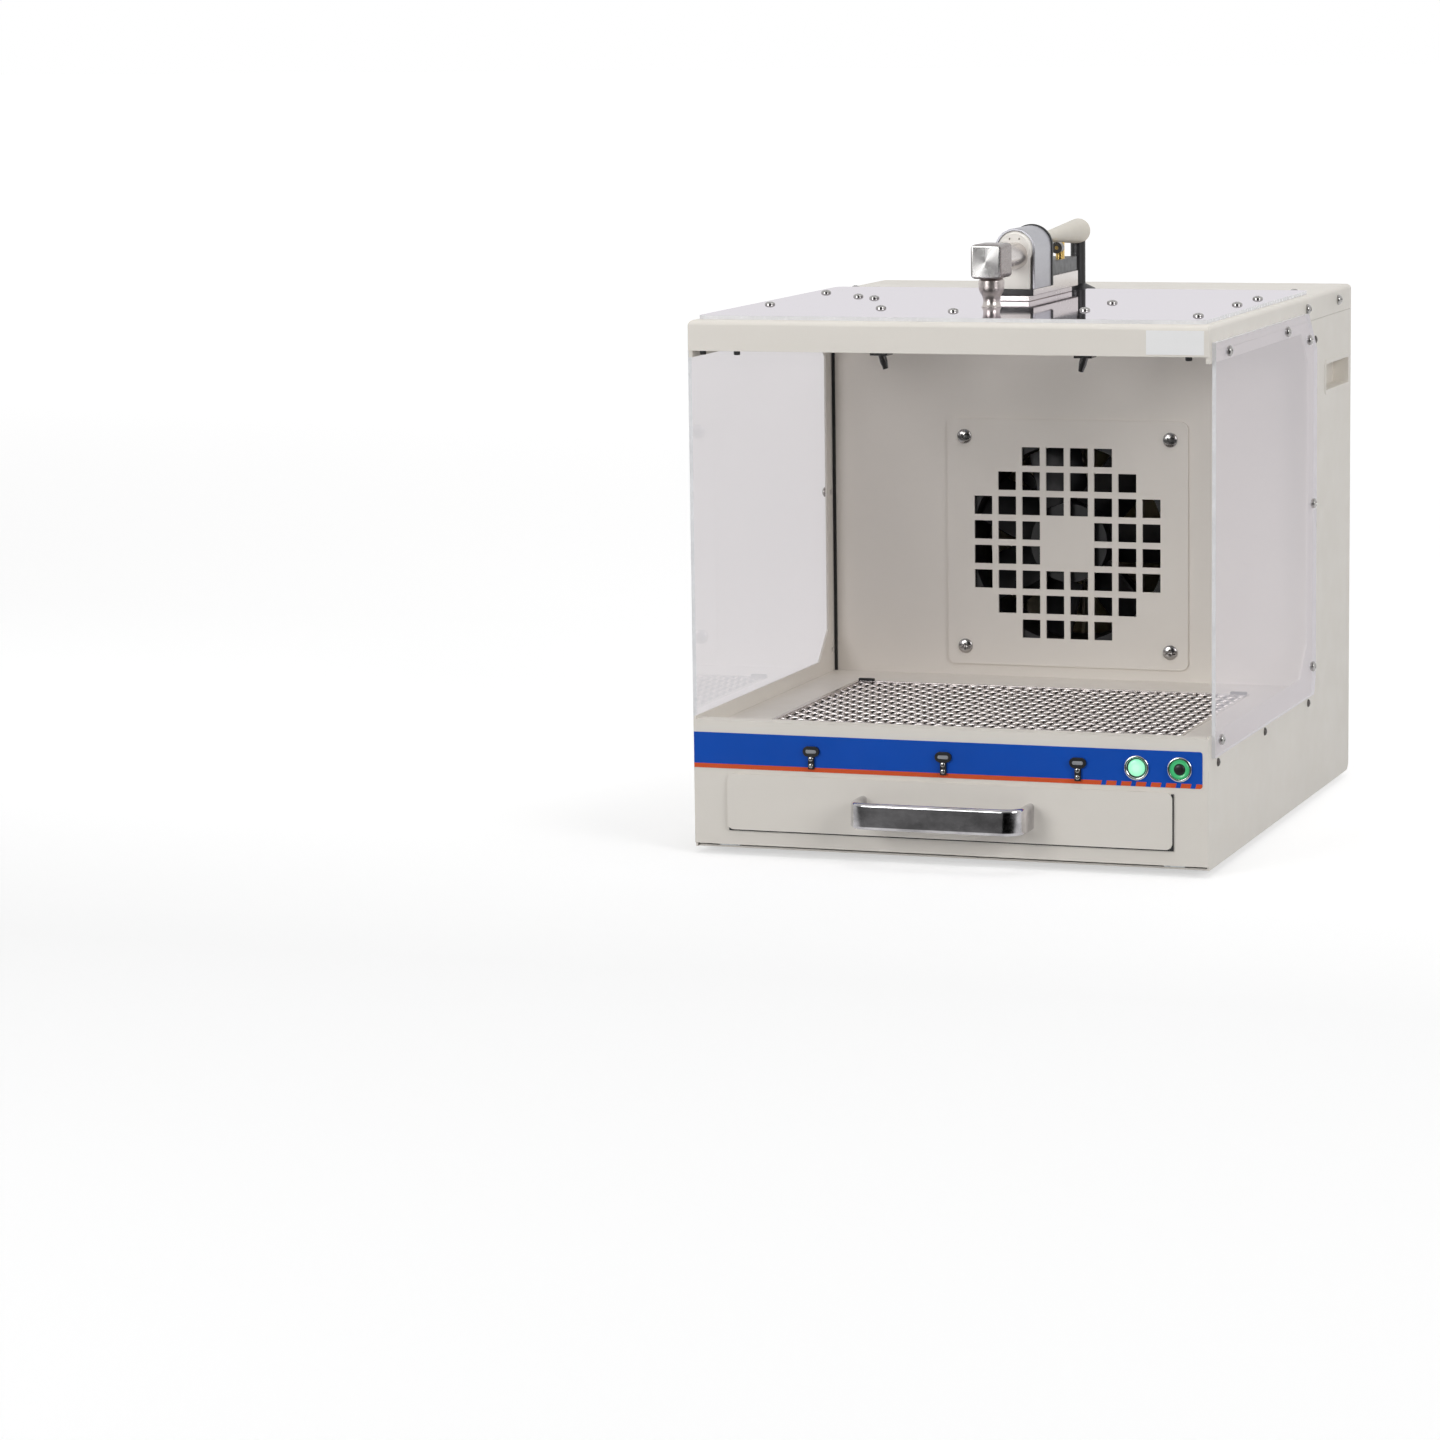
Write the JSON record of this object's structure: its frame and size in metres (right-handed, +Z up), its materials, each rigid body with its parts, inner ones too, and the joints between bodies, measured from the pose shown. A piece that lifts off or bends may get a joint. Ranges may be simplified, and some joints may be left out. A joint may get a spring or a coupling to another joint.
{
  "type": "ionizing dust removal box",
  "caption": "Bench-top sheet-metal dust removal box with clear side and roof windows, roof-mounted ion air gun, suction fan behind a grille, wire deck and dust drawer.",
  "frame": {"origin": "on the bench plane, under the middle of the whole object's box", "axes": "+Z up, -Y towards the operator and the drawer, +X to the operator's right"},
  "size_m": [0.4108, 0.53, 0.465],
  "materials": {
    "paint": "satin powder coat",
    "clear": "clear polished sheet",
    "wire": "drawn wire",
    "screw": "polished",
    "strip": "printed film",
    "label": "bare film",
    "black_plastic": "moulded",
    "lens": "moulded",
    "bezel": "polished",
    "lit_mint": "lit",
    "lit_green": "lit",
    "handle": "brushed",
    "zinc": "zinc plated",
    "paper": "pleated paper",
    "aluminium": "machined",
    "potting": "moulded",
    "board": "solder mask",
    "tube": "extruded",
    "pipe": "moulded",
    "rubber": "moulded"
  },
  "bodies": {
    "cabinet": {"base_pan": "paint", "front_panel": "paint", "side_panel_left": "paint", "side_panel_right": "paint", "rear_panel": "paint", "top_cover": "paint", "back_wall": "paint", "work_deck": "paint", "grille_plate": "paint", "grip_left": "paint", "grip_right": "paint", "roof_window": "clear", "side_window_left": "clear", "side_window_right": "clear", "wire_screen": "wire", "side_window_screws": "screw", "roof_screws": "screw", "lid_screws": "screw", "rivets": "screw", "sensor_screws": "screw", "grille_screws": "screw", "button_nuts": "screw", "control_strip": "strip", "bare_label": "label", "sensor_bezels": "black_plastic", "fan_frame": "black_plastic", "mains_inlet": "black_plastic", "solenoid_valve": "black_plastic", "sensor_lenses": "lens", "start_bezel": "bezel", "power_bezel": "bezel", "power_ring": "lit_green", "gun_block": "handle", "gun_nozzle": "handle", "gun_barrel": "handle", "gun_strap": "handle", "runner_left": "zinc", "runner_right": "zinc", "filter_housing": "zinc", "filter_cartridge": "paper", "power_supply": "aluminium", "air_manifold": "aluminium", "side_nozzle_left": "aluminium", "side_nozzle_right": "aluminium", "ion_supply": "potting", "gun_rear_block": "potting", "gun_base": "potting", "control_board": "board", "air_tubes": "tube", "air_inlet": "tube", "air_pipe": "pipe", "rubber_feet": "rubber"},
    "drawer": {"drawer_front": "paint", "drawer_tray": "paint", "drawer_handle": "handle", "handle_screws": "screw"},
    "start_button": {"start_cap": "lit_mint"},
    "power_button": {"power_plunger": "black_plastic"},
    "fan": {"fan_impeller": "black_plastic"},
    "knob": {"flow_knob": "bezel"}
  },
  "joints": [
    {"name": "drawer_slide", "type": "slide", "parent": "cabinet", "child": "drawer", "axis": [0, -1, 0], "range_m": [0, 0.22]},
    {"name": "start_press", "type": "slide", "parent": "cabinet", "child": "start_button", "axis": [0, 1, 0], "range_m": [0, 0.0025], "stiffness_N_per_m": 600},
    {"name": "power_press", "type": "slide", "parent": "cabinet", "child": "power_button", "axis": [0, 1, 0], "range_m": [0, 0.0025], "stiffness_N_per_m": 600},
    {"name": "fan_spin", "type": "hinge", "parent": "cabinet", "child": "fan", "pos_m": [0, 0.131, 0.203], "axis": [0, 1, 0], "continuous": true},
    {"name": "knob_turn", "type": "hinge", "parent": "cabinet", "child": "knob", "pos_m": [0.008, 0.053, 0.444], "axis": [0, -1, 0], "range_deg": [0, 270]}
  ]
}
